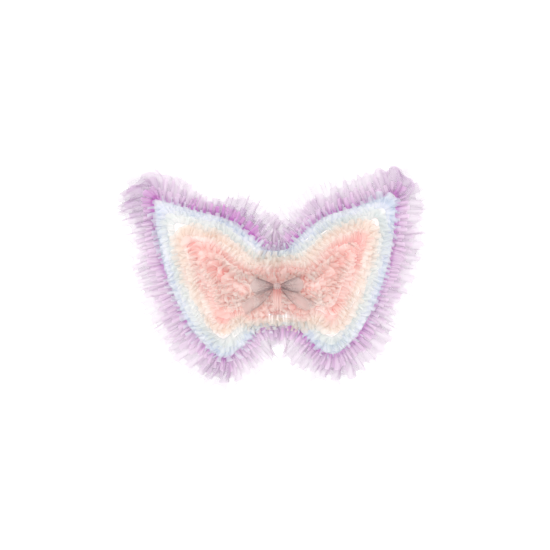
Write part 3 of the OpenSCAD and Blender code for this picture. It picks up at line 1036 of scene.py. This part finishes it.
right_line = evenly(strap_line("arm_strap_right"), 1.5 * mm)
for side, word in ((1, "right"), (-1, "left")):
    spots, faces = band(right_line, side, strap_splay)
    strap = solid(f"elastic_strap_{word}", spots, faces, elastic, f"strap_{word}")
    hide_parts(f"arm_strap_{word}")
spots, faces = [], []
end_l = 12 * mm
for side in (1, -1):
    for z in (ends_high.z - end_l, ends_low.z):
        more, rings = band(evenly([(0, z), (0, z + end_l)], 1.5 * mm), side, 0.0, len(spots))
        spots += more
        faces += rings
ends = solid("elastic_ends", spots, faces, elastic, "root")
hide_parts("strap_ends")

tack_low, tack_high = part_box("bar_tacks")
tack_half = tack_high.x - strap_x
spots, faces = [], []
threads_in_tack = 9
tack_rings, tack_sides = 8, 6
tack_inset, tack_jog, tack_lean = 1.2 * mm, 0.25 * mm, 0.5 * mm
for side in (1, -1):
    for tack_z in (tack_high.z - tack_inset, tack_low.z + tack_inset):
        for number in range(threads_in_tack):
            odd = (-1) ** number
            z = tack_z + odd * tack_jog
            tack_x = side * strap_x + (number / (threads_in_tack - 1) - 0.5) * 2 * tack_half
            faces += ring_faces(tack_rings, tack_sides, len(spots), inside_out=True, capped=True)
            for i, y in enumerate(np.linspace(tack_low.y, tack_high.y, tack_rings + 1)):
                x = tack_x + odd * tack_lean * (i / tack_rings - 0.5)
                fat = thread_r * (1.2 + 0.15 * math.sin(i * 2.1 + number))
                for a in (2 * math.pi * k / tack_sides for k in range(tack_sides)):
                    spots.append((x + fat * math.cos(a), y, z + fat * math.sin(a)))
tacks = solid("tack_threads", spots, faces, pink_thread, "root")
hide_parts("bar_tacks")

# ---- Bow ---------------------------------------------------------------------
# A bow of sheer taupe ribbon with satin edges, tied flat and sewn to the pad by
# its knot. Each loop and tail lies on a wing and goes along with it.


def ribbon_cloth(name, tint, deep, cover, shine):
    """Ribbon woven from fine shiny threads, deeper in colour where its tone is high; that tone is painted
    shade.
    """
    finish = Finish(name, Roughness=shine, Sheen_Weight=0.3, Alpha=cover)
    finish.tint(finish.tone(), tint, deep)
    finish.relief(finish.waves("Y", finish.places["UV"], Scale=700.0, Distortion=0.4), 0.3, 0.1 * mm)
    return finish.material


organza = ribbon_cloth("sheer_taupe_ribbon", colour(216, 198, 194), colour(122, 98, 102), 0.4, 0.35)
satin = ribbon_cloth("satin_ribbon_edge", colour(196, 172, 166), colour(112, 90, 92), 0.8, 0.28)
edge_columns = 2


def ribbon(name, spots, tone, side, body, node, length, width):
    """A strip of the ribbon, with satin along both edges, from its grids of x, y and z."""
    grid = np.stack(spots, axis=-1)
    columns = grid.shape[1]
    cut = np.zeros(grid.shape[:2] + (2,))
    cut[..., 0] = np.linspace(0, width, columns)[None, :]
    cut[..., 1] = np.linspace(0, length, len(grid))[:, None]
    patches = [(grid, np.clip(tone, 0, 1), cut)]
    piece = cloth(name, patches, organza, side)
    piece.data.materials.append(satin)
    column = np.arange(len(piece.data.polygons)) % (columns - 1)
    edged = (column < edge_columns) | (column >= columns - 1 - edge_columns)
    piece.data.polygons.foreach_set("material_index", edged.astype(np.int32))
    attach(piece, body)
    cut_size(patches)
    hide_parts(node)


def along_and_across(rows, columns):
    """Shares from 0 to 1 along a ribbon, and from -1 to 1 across it."""
    return np.linspace(0, 1, rows)[:, None], np.linspace(-1, 1, columns)[None, :]


ribbon_w = 24 * mm
loop_pinch, tail_pinch = 3.2 * mm, 3.5 * mm
loop_rounding = 11 * mm
for side, word in ((1, "right"), (-1, "left")):
    low, high = loop_low, loop_high
    mid_y, half_y = (low.y + high.y) / 2, (high.y - low.y) / 2
    mid_z, half_z = (low.z + high.z) / 2, (high.z - low.z) / 2
    s, u = along_and_across(96, 25)
    out = np.sin(math.pi * s) ** 0.85
    tight = (1 - out) ** 1.3
    tall = loop_pinch + (half_z - loop_pinch) * out ** 0.75
    pleat = 1.3 * mm * tight * np.cos(3.2 * math.pi * u + 0.8 * side)
    fold = 0.9 * mm * out * np.sin(2.1 * u + 5 * s + side)
    belly = half_y * 0.9 * np.sin(2 * math.pi * s) * (1 - 0.35 * u * u)
    x = low.x - 2 * mm + (high.x - low.x + 1.2 * mm) * out - loop_rounding * u * u * out
    y = np.clip(mid_y - belly + pleat + fold, low.y - 1 * mm, high.y + 0.5 * mm)
    z = mid_z * out + tall * u + 1.4 * mm * np.sin(3 * s + side) * out
    # Painted shade: the tone is deeper where the loop is pinched into the knot and in its pleats there, and
    # over the back half of the loop. It is also deeper along both edges.
    tone = (0.85 + 0.2 * np.cos(3.2 * math.pi * u)) * tight + 0.3 * (s > 0.5) + 0.6 * u ** 4
    ribbon(
        f"ribbon_loop_{word}", (x, y, z), tone, side, f"bow_{word}", f"bow_loop_{word}", 100 * mm, ribbon_w,
    )

    low, high = tail_low, tail_high
    start, end = np.array([low.x - 1 * mm, high.z - 5 * mm]), np.array([high.x - 6 * mm, low.z + 10 * mm])
    tail_l = np.linalg.norm(end - start)
    run = (end - start) / tail_l
    s, u = along_and_across(60, 25)
    wide = tail_pinch + (0.5 * ribbon_w - tail_pinch) * np.minimum(1, 1.7 * s) ** 0.7
    onward = tail_l * s + 4 * mm * u * s ** 6 * side
    aside = wide * u - 3 * mm * np.sin(math.pi * s)
    wave = np.sin(6 * s + 1.2 * u + side)
    x = start[0] + run[0] * onward - run[1] * aside
    z = start[1] + run[1] * onward + run[0] * aside
    pleat = 0.9 * mm * (1 - s) ** 2 * np.cos(3 * math.pi * u)
    y = (low.y + high.y) / 2 - 0.8 * mm + 1.1 * mm * s * wave + pleat
    # Painted shade: the tone is deeper near the knot and rises and falls with the tail's ripples. It is also
    # deeper along both edges.
    tone = 0.9 * (1 - s) ** 3 + 0.2 + 0.2 * wave + 0.3 * u ** 4
    ribbon(
        f"ribbon_tail_{word}", (x, y, z), tone, side, f"bow_{word}", f"bow_tail_{word}", 80 * mm, ribbon_w,
    )

knot_low, knot_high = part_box("bow_knot")
knot_back = 3 * mm
mid_y, half_y = (knot_low.y + knot_high.y - knot_back) / 2, (knot_high.y - knot_low.y - knot_back) / 2
s, u = along_and_across(64, 21)
turn = 2 * math.pi * 0.985 * s
ridges = np.cos(3 * math.pi * u + 0.7 * np.sin(turn))
crown = 1 - 0.28 * u ** 4 - 0.06 * ridges
x = 0.98 * knot_high.x * u * (1 - 0.08 * np.sin(2 * turn))
y = mid_y - half_y * crown * np.cos(turn)
z = 1.08 * knot_high.z * crown * np.sin(turn) + 0.4 * mm * u
# Painted light and shade: the knot's tone goes paler and deeper along its folds.
ribbon("ribbon_knot", (x, y, z), 0.2 - 0.25 * ridges, 1, "root", "bow_knot", 45 * mm, 12 * mm)
